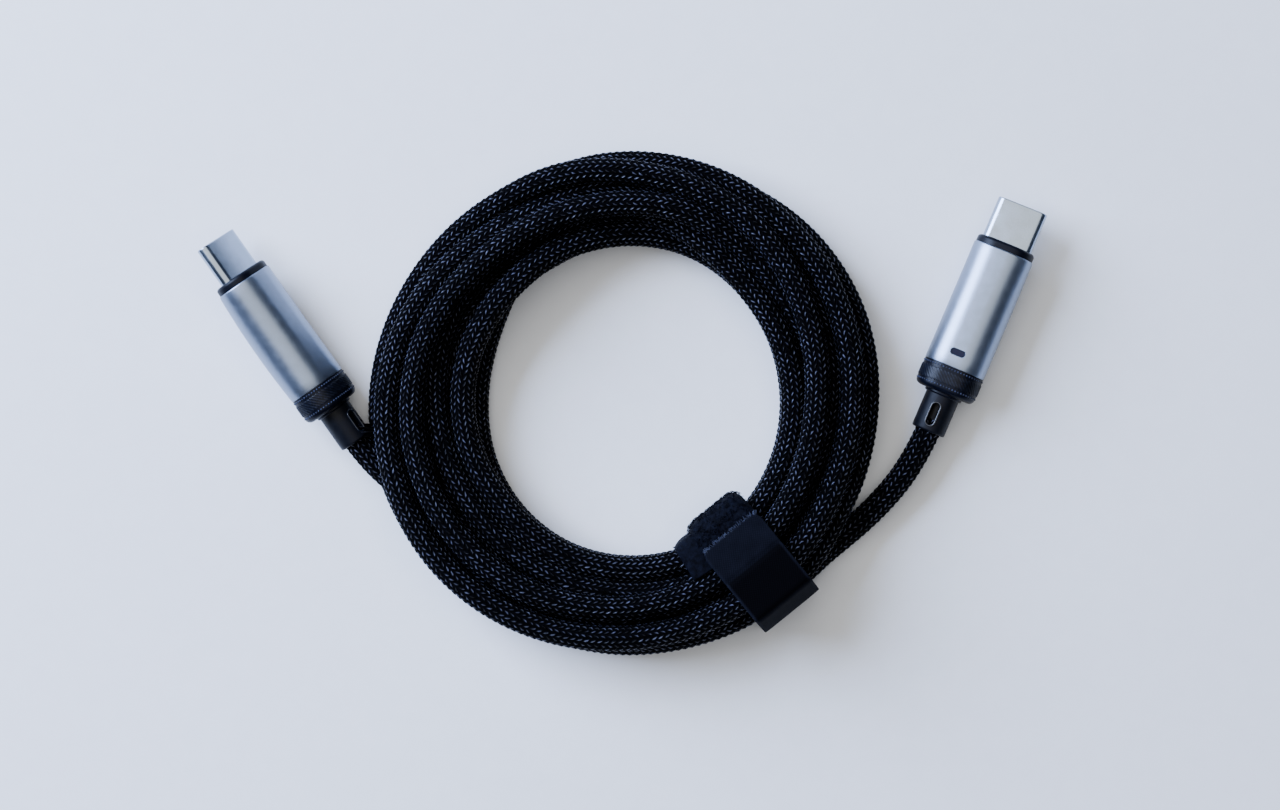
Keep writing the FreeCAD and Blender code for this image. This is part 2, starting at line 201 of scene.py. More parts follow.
def makeBarrel():
    # anodised aluminium, bead-blasted: silver, satin, a fine even sparkle
    return grainFinish("satinAnodisedAluminium", {"Metallic": 1.0, "Roughness": 0.36}, "#8590a1", "#8e99aa",
                       0.09, 0.006, (0.35, 0.4))


def makeSteel():
    # deep-drawn nickel-plated steel: smooth, with faint draw lines
    return grainFinish("nickelPlatedSteel", {"Metallic": 1.0, "Roughness": 0.2}, "#97a3b2", "#a3afbe",
                       0.2, 0.004, (0.17, 0.28))


def makeCollar():
    # moulded polycarbonate blend, black with a fine spark-eroded texture
    return grainFinish("blackMouldedPolycarbonate", {"IOR": 1.55, "Specular IOR Level": 0.12},
                       "#010208", "#040714", 0.12, 0.006, (0.34, 0.44))


def makeKnurl():
    # the same plastic moulded into fine ridges and beads, with a highlight painted pale on their crowns
    material, tree, shader = startFinish("ridgedPolycarbonate", {
        "Roughness": 0.36, "IOR": 1.55, "Specular IOR Level": 0.14})
    spot = addNode(tree, "TexCoord")
    grain = addNode(tree, "TexNoise", {"Vector": spot.outputs["Object"], "Scale": 1 / (0.5 * mm),
                                       "Detail": 3.0})
    raised = addNode(tree, "Attribute", attribute_name="raised")
    uneven = addNode(tree, "MapRange", {"Value": grain.outputs[0], "From Min": 0.35, "From Max": 0.65,
                                        "To Min": 0.3, "To Max": 1.3})
    # painted highlight: pale where the ridges and beads are raised, uneven in small patches
    crownHighlight = addNode(tree, "Math", {0: raised.outputs["Fac"], 1: uneven.outputs[0]}, operation="MULTIPLY",
                     use_clamp=True)
    tint = addNode(tree, "Mix", {0: crownHighlight.outputs[0], 6: tone("#010206"), 7: tone("#333a50")},
                   data_type="RGBA")
    bump = addNode(tree, "Bump", {"Strength": 1.0, "Distance": 0.004 * mm, "Height": grain.outputs[0]})
    tree.links.new(tint.outputs[2], shader.inputs["Base Color"])
    tree.links.new(bump.outputs[0], shader.inputs["Normal"])
    return material


def makeRelief():
    # moulded thermoplastic elastomer: soft, black, slightly greasy gloss
    return grainFinish("blackElastomer", {"IOR": 1.5, "Specular IOR Level": 0.16}, "#020308", "#050812",
                       0.1, 0.008, (0.42, 0.55))


def makePolished():
    # the same elastomer where the mould was polished: a clear pale highlight
    return grainFinish("polishedElastomer", {"Roughness": 0.26, "IOR": 1.55, "Coat Weight": 0.15,
                                             "Coat Roughness": 0.08}, "#0c1018", "#121722", 0.3, 0.002)


def makeTape():
    # woven nylon tape: fine plain weave, almost black, with painted light and shade on the weave; the free
    # end worn to slate, and a painted sheen on the outer fold
    material, tree, shader = startFinish("wovenNylonTape", {
        "Roughness": 0.62, "IOR": 1.53, "Specular IOR Level": 0.02})
    place = addNode(tree, "UVMap", uv_map="UVMap")
    parts = addNode(tree, "SeparateXYZ", {0: place.outputs[0]})
    thread = 0.2                                             # mm, coarser than the real weave, to show
    waves = []
    for side in (0, 1):
        turns = addNode(tree, "Math", {0: parts.outputs[side], 1: math.pi / thread}, operation="MULTIPLY")
        waves.append(addNode(tree, "Math", {0: turns.outputs[0]}, operation="SINE").outputs[0])
    weave = addNode(tree, "Math", {0: waves[0], 1: waves[1]}, operation="MULTIPLY").outputs[0]
    bump = addNode(tree, "Bump", {"Strength": 1.0, "Distance": 0.015 * mm, "Height": weave})
    spot = addNode(tree, "TexCoord")
    cloud = addNode(tree, "TexNoise", {"Vector": spot.outputs["Object"], "Scale": 1 / (2.4 * mm),
                                       "Detail": 4.0})
    # wear, and a painted sheen on the outer fold, from the tail's attribute
    shade = addNode(tree, "Attribute", attribute_name="wearAndSheen")
    mottled = addNode(tree, "MapRange", {"Value": cloud.outputs[0], "From Min": 0.3, "From Max": 0.7,
                                         "To Min": 0.75, "To Max": 1.25}).outputs[0]
    amount = addNode(tree, "Math", {0: shade.outputs["Fac"], 1: mottled}, operation="MULTIPLY",
                     use_clamp=True).outputs[0]
    tint = addNode(tree, "Mix", {0: amount, 6: tone("#010103"), 7: tone("#11131c")},
                   data_type="RGBA").outputs[2]
    # painted light and shade on the weave: lighter on the threads' crowns, darker between them
    lit = addNode(tree, "MapRange", {"Value": weave, "From Min": -1.0, "From Max": 1.0,
                                     "To Min": 0.88, "To Max": 1.08}).outputs[0]
    tint = addNode(tree, "VectorMath", {0: tint, "Scale": lit}, operation="SCALE").outputs[0]
    tree.links.new(tint, shader.inputs["Base Color"])
    tree.links.new(bump.outputs[0], shader.inputs["Normal"])
    return material


def makePile():
    # brushed nylon loop pile: dull navy fuzz with painted shade for its hollows, in darker clumps placed by a
    # noise
    material, tree, shader = startFinish("brushedNylonPile", {
        "Roughness": 0.8, "IOR": 1.5, "Specular IOR Level": 0.04, "Sheen Weight": 0.006,
        "Sheen Roughness": 0.5, "Sheen Tint": tone("#5a75b8")})
    spot = addNode(tree, "TexCoord")
    # painted shade: darker clumps at random stand in for the hollows of the pile
    shadeClumps = addNode(tree, "TexNoise", {"Vector": spot.outputs["Object"], "Scale": 1 / (0.9 * mm),
                                        "Detail": 5.0, "Roughness": 0.7})
    spread = addNode(tree, "MapRange", {"Value": shadeClumps.outputs[0], "From Min": 0.35, "From Max": 0.65})
    tint = addNode(tree, "Mix", {0: spread.outputs[0], 6: tone("#010103"), 7: tone("#0a0c16")},
                   data_type="RGBA").outputs[2]
    fibres = addNode(tree, "TexNoise", {"Vector": spot.outputs["Object"], "Scale": 1 / (0.12 * mm),
                                        "Detail": 2.0})
    bump = addNode(tree, "Bump", {"Strength": 1.0, "Distance": 0.08 * mm, "Height": fibres.outputs[0]})
    tree.links.new(tint, shader.inputs["Base Color"])
    tree.links.new(bump.outputs[0], shader.inputs["Normal"])
    return material


braidFinish, barrelFinish, steelFinish = makeBraid(), makeBarrel(), makeSteel()
collarFinish, knurlFinish = makeCollar(), makeKnurl()
reliefFinish, polishedFinish = makeRelief(), makePolished()
tapeFinish, pileFinish = makeTape(), makePile()


# inside the plugs: name, look, dark and light tone, grit, height, roughness from and to
insideLooks = {
    # gold flash over nickel, on the contacts
    "contacts_upper": ("goldPlatedBronze", {"Metallic": 1.0}, "#c99a45", "#e0b862", 0.15, 0.002, (0.18, 0.3)),
    # half-hard stainless, blanked
    "latch_plate": ("blankedStainless", {"Metallic": 1.0}, "#9aa3ad", "#b4bcc6", 0.12, 0.003, (0.22, 0.38)),
    # glass-filled liquid-crystal polymer, dull black with faint flow marks
    "insulator": ("blackLiquidCrystalPolymer", {"IOR": 1.6}, "#0b0c10", "#16181d", 0.16, 0.006, (0.42, 0.6)),
    # glass-epoxy laminate under dark green solder mask
    "circuit_board": ("maskedGlassEpoxy", {"IOR": 1.55}, "#0c1a14", "#13261d", 0.4, 0.004, (0.28, 0.42)),
    # moulded epoxy resin, matt black
    "cable_chip": ("mouldedEpoxy", {"IOR": 1.55}, "#101114", "#1c1d21", 0.1, 0.008, (0.5, 0.65)),
    # fired ceramic, tan and slightly rough
    "capacitors": ("firedCeramic", {"IOR": 1.7}, "#8a7358", "#a58c6d", 0.1, 0.004, (0.35, 0.5)),
    # bright tinplate, folded
    "shield_can": ("brightTinplate", {"Metallic": 1.0}, "#b4b8bd", "#c8ccd0", 0.35, 0.003, (0.2, 0.4)),
    # low-pressure hot-melt moulding, amber and waxy
    "inner_moulding": ("hotMeltPolyamide", {"IOR": 1.5, "Subsurface Weight": 0.1}, "#6d5a34", "#82703f",
                       0.6, 0.02, (0.4, 0.55)),
    # drawn brass, dulled by crimping
    "crimp_ferrule": ("drawnBrass", {"Metallic": 1.0}, "#a9874a", "#c2a062", 0.14, 0.004, (0.25, 0.42)),
    # extruded elastomer under the braid, dull black
    "inner_jacket": ("extrudedElastomer", {"IOR": 1.5, "Specular IOR Level": 0.15}, "#030305", "#07070b",
                     0.12, 0.006, (0.45, 0.6)),
    # extruded polyethylene on the cores, red and waxy
    "wire_cores": ("extrudedPolyethylene", {"IOR": 1.51}, "#8e1f1c", "#a3302b", 0.3, 0.003, (0.35, 0.5)),
    # light-emitting diode in clear resin
    "status_light": ("diodeResin", {"IOR": 1.55}, "#c9ccc2", "#dcdfd4", 0.2, 0.002, (0.12, 0.2)),
    # clear polycarbonate light pipe, unlit, painted dark blue for the shade behind it
    "light_window": ("shadedClearPolycarbonate", {"IOR": 1.58, "Specular IOR Level": 0.15}, "#03061a", "#070c2c",
                     0.4, 0.002, (0.3, 0.4)),
}
insideFinishes = {part: grainFinish(*look) for part, look in insideLooks.items()}
insideFinishes["contacts_lower"] = insideFinishes["contacts_upper"]
insideFinishes["ground_springs"] = insideFinishes["latch_plate"]


cord = {"diameter": 4.15, "stitch": 1.06, "carriers": 16, "relief": 0.2}

# The coil from the right plug inward: (radius, level) each 60 degrees, clockwise from above, one row a turn.
# A level is roughly how many cords lie underneath at that place.
coil = {
    "turns": [
        [(38.7, 0), (38.1, 0), (38.9, 0), (37.3, 1), (34.3, 2), (29.0, 2)],
        [(31.3, 2), (33.7, 2), (34.6, 1), (31.7, 2), (30.2, 1), (29.7, 0)],
        [(30.3, 0), (29.8, 0), (26.7, 0), (26.3, 1), (30.2, 0), (33.7, 0)],
        [(32.9, 1), (34.1, 1), (30.6, 0), (33.0, 0), (38.3, 0), (38.6, 1)],
        [(37.8, 1), (37.5, 1), (34.9, 0), (37.2, 0), (38.3, 1), (33.8, 2)],
        [(35.7, 2), (38.3, 2), (39.0, 1), (35.3, 2), (31.7, 1), (31.4, 1)],
        [(28.7, 1), (30.2, 1), (30.0, 1), (32.7, 1), (27.5, 1), (27.0, 1)],
        [(27.0, 1), (25.9, 1), (26.2, 1), (26.3, 2), (27.6, 0), (27.1, 0)],
        [(27.1, 0), (25.6, 0), (23.0, 0), (25.9, 0), (32.2, 0), (36.5, 0)],
        [(34.8, 0), (34.3, 0)],
    ],
    # between those: (turn, bearing, radius, level)
    "between": [(0, 210, 38.0, 0.4), (3, 330, 39.8, 0.5), (5, 210, 37.4, 1.6), (8, 210, 23.5, 0)],
    "start": (38.4, 39.57, 0.1), "end": (149.1, 35.4, 0.0),   # bearing, radius, level where the leads join
    "first": 40, "last": 3385, "step": 10,                    # bearings, counted on from turn to turn
    "rounds": 500, "settled": 0.8, "closeness": 0.95, "packed": 4.12, "levelRise": 0.9,
    "fall": 0.03, "pull": (0.008, 0.025), "stiff": (0.15, 0.05), "push": 0.4,
    "strapBearing": 51, "strapRoom": 1.15, "strapReach": 22, "strapSlope": 12,   # the strap under it
}
rightLead = [(49.17, -2.66, 4.18), (46.46, -9.11, 3.94), (40.2, -17.0, 3.0), (31.0, -24.6, 2.6)]
leftLead = [(-30.4, -18.2, 2.1), (-35.9, -13.3, 2.5), (-40.95, -8.56, 3.86), (-43.78, -4.46, 4.29)]


def smoothBetween(known, values, wanted):  # a smooth line through the given places
    slope = np.gradient(values, known)
    left = np.clip(np.searchsorted(known, wanted) - 1, 0, len(known) - 2)
    gap = known[left + 1] - known[left]
    part = (wanted - known[left]) / gap
    return ((2 * part**3 - 3 * part**2 + 1) * values[left]
            + (part**3 - 2 * part**2 + part) * gap * slope[left]
            + (3 * part**2 - 2 * part**3) * values[left + 1]
            + (part**3 - part**2) * gap * slope[left + 1])


def layCoil():
    # drops the turns onto each other: gravity, a pull to where each belongs, stiffness and contact
    thick, step = coil["packed"], coil["step"]
    places = [(360.0 * turn + 60 * (i + 1), *spot)
              for turn, row in enumerate(coil["turns"]) for i, spot in enumerate(row)]
    places += [(360.0 * turn + bearing, radius, level) for turn, bearing, radius, level in coil["between"]]
    places += [coil["start"], (coil["end"][0] + 360 * (len(coil["turns"]) - 1), *coil["end"][1:])]
    bearings, radii, levels = np.array(sorted(places), float).T
    turned = np.arange(coil["first"], coil["last"], step)
    wish, level = smoothBetween(bearings, radii, turned), smoothBetween(bearings, levels, turned)
    count, perTurn = len(turned), 360 // step
    radius, height = wish.copy(), thick / 2 + np.clip(level, 0, 3) * coil["levelRise"] * thick
    fromStrap = np.abs((turned - coil["strapBearing"] + 180) % 360 - 180)
    lifted = np.clip((coil["strapReach"] - fromStrap) / coil["strapSlope"], 0, 1)
    floor = thick / 2 + coil["strapRoom"] * lifted
    ray = np.arange(count) % perTurn
    nearest = np.array([wish[ray == i].min() for i in range(perTurn)])[ray]
    furthest = np.array([wish[ray == i].max() for i in range(perTurn)])[ray]
    hold = coil["pull"][0] + coil["pull"][1] * np.clip(level, 0, 2)
    for turn in range(coil["rounds"]):
        settling = turn <= coil["rounds"] * coil["settled"]
        if settling:
            height -= coil["fall"]
            radius += (wish - radius) * hold
        stiffness = coil["stiff"][0] if settling else coil["stiff"][1]
        for line in (radius, height):
            line[1:-1] += stiffness * (line[:-2] + line[2:] - 2 * line[1:-1])
        for shift in list(range(1, len(coil["turns"]))) * 2:
            inner = np.arange(0, count - shift * perTurn)
            outer = inner + shift * perTurn
            sideways, upwards = radius[outer] - radius[inner], height[outer] - height[inner]
            apart = np.hypot(sideways, upwards) + 1e-9
            push = np.clip(thick * coil["closeness"] - apart, 0, None) * coil["push"] / apart
            moveOut, moveUp = np.zeros(count), np.zeros(count)
            np.add.at(moveOut, inner, -sideways * push)
            np.add.at(moveOut, outer, sideways * push)
            np.add.at(moveUp, inner, -upwards * push)
            np.add.at(moveUp, outer, upwards * push)
            radius += moveOut
            height += moveUp
        height = np.maximum(height, floor)
        radius = np.clip(radius, nearest, furthest)
    angle = np.radians(turned)
    return list(zip(radius * np.cos(angle), -radius * np.sin(angle), height))


def readLine(route):  # the points of one smooth NURBS line with the route as its control points
    data = bpy.data.curves.new("cordLine", "CURVE")
    data.dimensions = "3D"
    spline = data.splines.new("NURBS")
    spline.points.add(len(route) - 1)
    for point, place in zip(spline.points, route):
        point.co = (*place, 1.0)
    spline.order_u = 3
    spline.use_endpoint_u = True
    spline.resolution_u = 12
    holder = bpy.data.objects.new("cordLine", data)
    line = bpy.data.meshes.new_from_object(holder)
    points = np.array([vertex.co for vertex in line.vertices])
    bpy.data.objects.remove(holder)
    bpy.data.meshes.remove(line)
    return points


def makeCord():
    route = [Vector(place) * mm for place in rightLead + layCoil() + leftLead]
    points = readLine(route)
    gone = np.concatenate([[0], np.cumsum(np.linalg.norm(np.diff(points, axis=0), axis=1))])
    rings = int(round(gone[-1] / (cord["stitch"] / 2 * mm))) + 1      # two rings a stitch
    even = np.linspace(0, gone[-1], rings)
    path = np.column_stack([np.interp(even, gone, points[:, axis]) for axis in range(3)])
    data = bpy.data.curves.new("cordTube", "CURVE")
    data.dimensions = "3D"
    data.bevel_depth = cord["diameter"] / 2 * mm
    data.bevel_resolution = cord["carriers"] // 2 - 2
    data.use_fill_caps = True
    spline = data.splines.new("POLY")
    spline.points.add(rings - 1)
    for point, place in zip(spline.points, path):
        point.co = (*place, 1.0)
    holder = bpy.data.objects.new("cordTube", data)
    mesh = bpy.data.meshes.new_from_object(holder)
    bpy.data.objects.remove(holder)
    around = cord["carriers"]
    co = np.array([vertex.co for vertex in mesh.vertices])
    print("cord", "length", round(gone[-1], 4), "rings", rings, "vertices", len(co), len(co) / rings)
    tube = co[:rings * around].reshape(rings, around, 3)
    sunk = (np.arange(rings)[:, None] + np.arange(around)[None, :]) % 2 == 0     # between the yarns' crowns
    depth = np.where(sunk, cord["relief"] / (cord["diameter"] / 2), 0.0)
    tube = path[:, None, :] + (tube - path[:, None, :]) * (1 - depth)[:, :, None]
    co[:rings * around] = tube.reshape(-1, 3)
    mesh.vertices.foreach_set("co", co.astype(np.float32).ravel())
    corner = np.empty(len(mesh.loops), int)
    mesh.loops.foreach_get("vertex_index", corner)
    ring, side = corner // around, corner % around
    first = np.empty(len(mesh.polygons), int)
    size = np.empty(len(mesh.polygons), int)
    mesh.polygons.foreach_get("loop_start", first)
    mesh.polygons.foreach_get("loop_total", size)
    owner = np.repeat(np.arange(len(size)), size)
    widest = np.zeros(len(size), int)
    np.maximum.at(widest, owner, side)
    side = np.where((widest[owner] == around - 1) & (side == 0) & (size[owner] == 4), around, side)
    while mesh.uv_layers:
        mesh.uv_layers.remove(mesh.uv_layers[0])
    layer = mesh.uv_layers.new(name="UVMap")
    layer.data.foreach_set("uv", np.column_stack([ring / 2, side]).astype(np.float32).ravel())
    piece = finishMesh(mesh, "braidedCord", braidFinish, sharp=180)
    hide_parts("cable_coil", "left_lead", "right_lead")
    return piece


makeCord()
print("cord done")


plugPlaces = {  # the cord's end of each strain relief, and how the plug lies
    "right": {"place": (48.4, -4.5, 4.11), "heading": 67.2, "pitch": 2.0, "roll": -12.0},
    "left": {"place": (-42.65, -6.1, 4.12), "heading": 124.7, "pitch": 5.0, "roll": 49.0},
}


def plugFrame(side):
    lay = plugPlaces[side]
    turned = (Matrix.Rotation(math.radians(lay["heading"]), 4, "Z")
              @ Matrix.Rotation(math.radians(-lay["pitch"]), 4, "Y")
              @ Matrix.Rotation(math.radians(lay["roll"]), 4, "X"))
    return Matrix.Translation(Vector(lay["place"]) * mm) @ turned


def alongPlug(side):  # pieces are drawn up along Z and then turned to lie along the plug, broad face up
    return plugFrame(side) @ Matrix(((0, 0, 1, 0), (1, 0, 0, 0), (0, 1, 0, 0), (0, 0, 0, 1)))


def giveThickness(shape, thick, out):  # thickens a sheet inwards; out is where its first face should point
    bmesh.ops.recalc_face_normals(shape, faces=shape.faces)
    shape.faces.ensure_lookup_table()
    inward = 1 if shape.faces[0].normal.dot(out) > 0 else -1
    bmesh.ops.solidify(shape, geom=list(shape.faces), thickness=inward * thick)
    bmesh.ops.recalc_face_normals(shape, faces=shape.faces)


def ovalSheet(shape, wide, thick, steps=8):  # a rectangle with its corners rounded to half circles
    corners = bmesh.ops.create_grid(shape, x_segments=1, y_segments=1, size=0.5)["verts"]
    bmesh.ops.scale(shape, vec=(wide, thick, 1), verts=corners)
    bmesh.ops.bevel(shape, geom=corners, offset=min(wide, thick) * 0.499, segments=steps, profile=0.5,
                    affect="VERTICES", material=-1)
    bmesh.ops.remove_doubles(shape, verts=shape.verts, dist=min(wide, thick) * 0.02)
    return list(shape.faces)


def pullUp(shape, faces, rise, scale=(1, 1), shift=0.0):  # extrudes faces, then moves and scales the end
    closed = all(len(edge.link_faces) > 1 for face in faces for edge in face.edges)
    pulled = bmesh.ops.extrude_face_region(shape, geom=faces)["geom"]
    if closed:                                               # or the old faces would stay inside the wall
        bmesh.ops.delete(shape, geom=faces, context="FACES")
    verts = [item for item in pulled if isinstance(item, bmesh.types.BMVert)]
    bmesh.ops.translate(shape, vec=(0, shift, rise), verts=verts)
    if scale != (1, 1):
        middle = sum((vert.co for vert in verts), Vector()) / len(verts)
        bmesh.ops.scale(shape, vec=(scale[0], scale[1], 1), verts=verts, space=Matrix.Translation(-middle))
    return [item for item in pulled if isinstance(item, bmesh.types.BMFace)]


def ovalReach(co, wide, thick, drop):  # distance from the oval's spine, half its thickness on its surface
    return math.hypot(max(0.0, abs(co.x) - (wide - thick) / 2), co.y + drop)


def roundEdges(shape, edges, offset, segments):
    bmesh.ops.bevel(shape, geom=edges, offset=offset, segments=segments, profile=0.5, affect="EDGES",
                    material=-1)


def roundRim(shape, at, offset, outside, section, segments):
    # rounds the outer or inner rim of the end at a station
    wide, thick, wall, drop = section
    middle = thick / 2 - wall / 2
    bmesh.ops.recalc_face_normals(shape, faces=shape.faces)
    rim = [edge for edge in shape.edges if all(abs(vert.co.z - at) < 1e-4 for vert in edge.verts)
           and len(edge.link_faces) == 2 and edge.calc_face_angle() > 0.9
           and all((ovalReach(vert.co, wide, thick, drop) > middle) == outside for vert in edge.verts)]
    roundEdges(shape, rim, offset, segments)


def ovalTube(stations, wall, rims=(), steps=8):
    # stations: (along, wide, thick, drop below the middle); rims: (end, outside, offset, segments)
    shape = bmesh.new()
    along, wide, thick, drop = stations[0]
    faces = ovalSheet(shape, wide, thick, steps)
    bmesh.ops.translate(shape, vec=(0, -drop, along), verts=shape.verts)
    if wall:
        bmesh.ops.inset_region(shape, faces=faces, thickness=wall, use_even_offset=True, use_boundary=True)
        bmesh.ops.delete(shape, geom=faces, context="FACES_ONLY")
        faces = list(shape.faces)
    for before, after in zip(stations, stations[1:]):
        faces = pullUp(shape, faces, after[0] - before[0], (after[1] / before[1], after[2] / before[2]),
                       before[3] - after[3])
    for end, outside, offset, segments in rims:
        at, wide, thick, drop = stations[end]
        roundRim(shape, at, offset, outside, (wide, thick, wall or thick, drop), segments)
    return shape


def cutSlot(piece, place, at, long, wide, surface, flare, turned):
    # cuts a pill-shaped slot with a flared rim through the broad face
    cutter = bmesh.new()
    faces = ovalSheet(cutter, long, wide, 6)
    bmesh.ops.translate(cutter, vec=(0, 0, surface - 1.6), verts=cutter.verts)
    faces = pullUp(cutter, faces, 1.6 - flare)
    pullUp(cutter, faces, flare * 2.5, ((long + flare * 5) / long, (wide + flare * 5) / wide))
    bmesh.ops.recalc_face_normals(cutter, faces=cutter.faces)
    if not turned:
        bmesh.ops.rotate(cutter, matrix=Matrix.Rotation(math.pi / 2, 3, "Z"), verts=cutter.verts)
    bmesh.ops.translate(cutter, vec=(at, 0, 0), verts=cutter.verts)
    bmesh.ops.transform(cutter, matrix=place @ Matrix.Scale(mm, 4), verts=cutter.verts)
    mesh = keepMesh(cutter, "slotCutter")
    tool = addObject("slotCutter", mesh)
    cut = piece.modifiers.new("slot", "BOOLEAN")
    cut.operation, cut.solver, cut.object = "DIFFERENCE", "EXACT", tool
    bpy.context.view_layer.update()
    done = bpy.data.meshes.new_from_object(piece.evaluated_get(bpy.context.evaluated_depsgraph_get()))
    piece.modifiers.clear()
    piece.data = done
    bpy.data.objects.remove(tool)
    bpy.data.meshes.remove(mesh)
    done.set_sharp_from_angle(angle=math.radians(35))


def ovalSpot(part, wide, thick):  # a point and its outward normal, part of the way round an oval
    flat, bend = wide - thick, math.pi * thick / 2
    total = 2 * flat + 2 * bend
    gone = (part % 1) * total
    for run, length in (("top", flat), ("left", bend), ("bottom", flat), ("right", bend)):
        if gone <= length or run == "right":
            break
        gone -= length
    if run in ("top", "bottom"):
        sign = 1 if run == "top" else -1
        return Vector((sign * (flat / 2 - gone), sign * thick / 2)), Vector((0, sign))
    turn = gone / (thick / 2) + (math.pi / 2 if run == "left" else -math.pi / 2)
    normal = Vector((math.cos(turn), math.sin(turn)))
    centre = -flat / 2 if run == "left" else flat / 2
    return Vector((centre, 0)) + normal * thick / 2, normal


sleeve = {"back": 10.85, "front": 31.0, "wide": 10.05, "rearThick": 8.1, "frontThick": 7.7, "belly": 0.65,
          "taper": 0.1, "wall": 0.5, "edge": 0.22, "stations": 12,
          "slotAt": 13.3, "slotLong": 2.3, "slotWide": 0.85, "slotSurface": 4.03, "slotFlare": 0.14}


def makeSleeve(side):
    stations = []
    for i in range(sleeve["stations"] + 1):
        part = i / sleeve["stations"]
        drop = sleeve["belly"] * math.sin(math.pi * part) ** 0.85      # the underside is slightly full
        along = sleeve["back"] + part * (sleeve["front"] - sleeve["back"])
        thick = sleeve["rearThick"] + part * (sleeve["frontThick"] - sleeve["rearThick"]) + drop
        stations.append((along, sleeve["wide"] - sleeve["taper"] * part, thick, drop / 2))
    rims = [(0, True, sleeve["edge"] * 0.6, 2), (-1, True, sleeve["edge"], 3)]
    shape = ovalTube(stations, sleeve["wall"], rims, 12)
    piece = finishPiece(shape, f"{side}Sleeve", barrelFinish, alongPlug(side))
    if side == "right":
        cutSlot(piece, plugFrame(side), sleeve["slotAt"], sleeve["slotLong"], sleeve["slotWide"],
                sleeve["slotSurface"], sleeve["slotFlare"], False)
    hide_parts(f"{side}_sleeve")


shell = {"back": 28.4, "front": 38.9, "wide": 8.25, "thick": 2.4, "wall": 0.3, "lip": 0.2, "innerLip": 0.07}


def makeShell(side):
    stations = [(shell[end], shell["wide"], shell["thick"], 0) for end in ("back", "front")]
    rims = [(-1, True, shell["lip"], 4), (-1, False, shell["innerLip"], 2)]
    shape = ovalTube(stations, shell["wall"], rims, 8)
    piece = finishPiece(shape, f"{side}PlugShell", steelFinish, alongPlug(side))
    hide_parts(f"{side}_plug_shell")


frontCollar = {"back": 30.2, "shoulder": 31.0, "front": 32.25, "wide": 9.6, "thick": 7.3, "edge": 0.55,
               "neckWide": 8.85, "neckThick": 6.85}          # the neck stands inside the sleeve


def makeFrontCollar(side):
    # a rounded ring with a flat face, in which the metal shell stands
    wide, thick = frontCollar["wide"], frontCollar["thick"]
    neckWide, neckThick = frontCollar["neckWide"], frontCollar["neckThick"]
    inner = (neckWide / wide, neckThick / thick)
    shape = bmesh.new()
    faces = ovalSheet(shape, neckWide, neckThick, 10)
    bmesh.ops.translate(shape, vec=(0, 0, frontCollar["back"]), verts=shape.verts)
    faces = pullUp(shape, faces, frontCollar["shoulder"] - frontCollar["back"])
    faces = pullUp(shape, faces, 0, (1 / inner[0], 1 / inner[1]))
    faces = pullUp(shape, faces, frontCollar["front"] - frontCollar["shoulder"])
    roundRim(shape, frontCollar["front"], frontCollar["edge"], True, (wide, thick, thick, 0), 5)
    piece = finishPiece(shape, f"{side}FrontCollar", collarFinish, alongPlug(side))
    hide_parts(f"{side}_front_collar")


rearCollar = {"back": 6.5, "front": 10.85, "wide": 10.0, "thick": 8.05, "shoulder": 0.9, "clear": 0.05,
              "lipBack": 6.05, "lipWide": 6.2, "lipThick": 5.9, "lipLong": 0.95, "lipEdge": 0.25}


def makeRearCollar(side):
    wide, thick = rearCollar["wide"] - rearCollar["clear"], rearCollar["thick"] - rearCollar["clear"]
    shape = bmesh.new()
    faces = ovalSheet(shape, wide, thick, 12)
    bmesh.ops.translate(shape, vec=(0, 0, rearCollar["back"]), verts=shape.verts)
    pullUp(shape, faces, rearCollar["front"] - rearCollar["back"])
    roundRim(shape, rearCollar["back"], rearCollar["shoulder"], True, (wide, thick, thick, 0), 6)
    lip = bmesh.new()
    lipWide, lipThick = rearCollar["lipWide"], rearCollar["lipThick"]
    faces = ovalSheet(lip, lipWide, lipThick, 10)
    bmesh.ops.translate(lip, vec=(0, 0, rearCollar["lipBack"]), verts=lip.verts)
    pullUp(lip, faces, rearCollar["lipLong"])
    roundRim(lip, rearCollar["lipBack"], rearCollar["lipEdge"], True, (lipWide, lipThick, lipThick, 0), 3)
    spare = keepMesh(lip, "lip")
    shape.from_mesh(spare)
    bpy.data.meshes.remove(spare)
    piece = finishPiece(shape, f"{side}RearCollar", collarFinish, alongPlug(side))
    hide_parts(f"{side}_rear_collar")


# the twill is drawn coarser than the real one, to show
twill = {"back": 7.75, "front": 10.15, "pitch": 0.6, "height": 0.17, "inset": 0.12, "thick": 0.12,
         "sink": 0.08, "beadRows": (7.5, 10.45), "beadPitch": 0.5, "beadRadius": 0.17, "beadInset": 0.14}


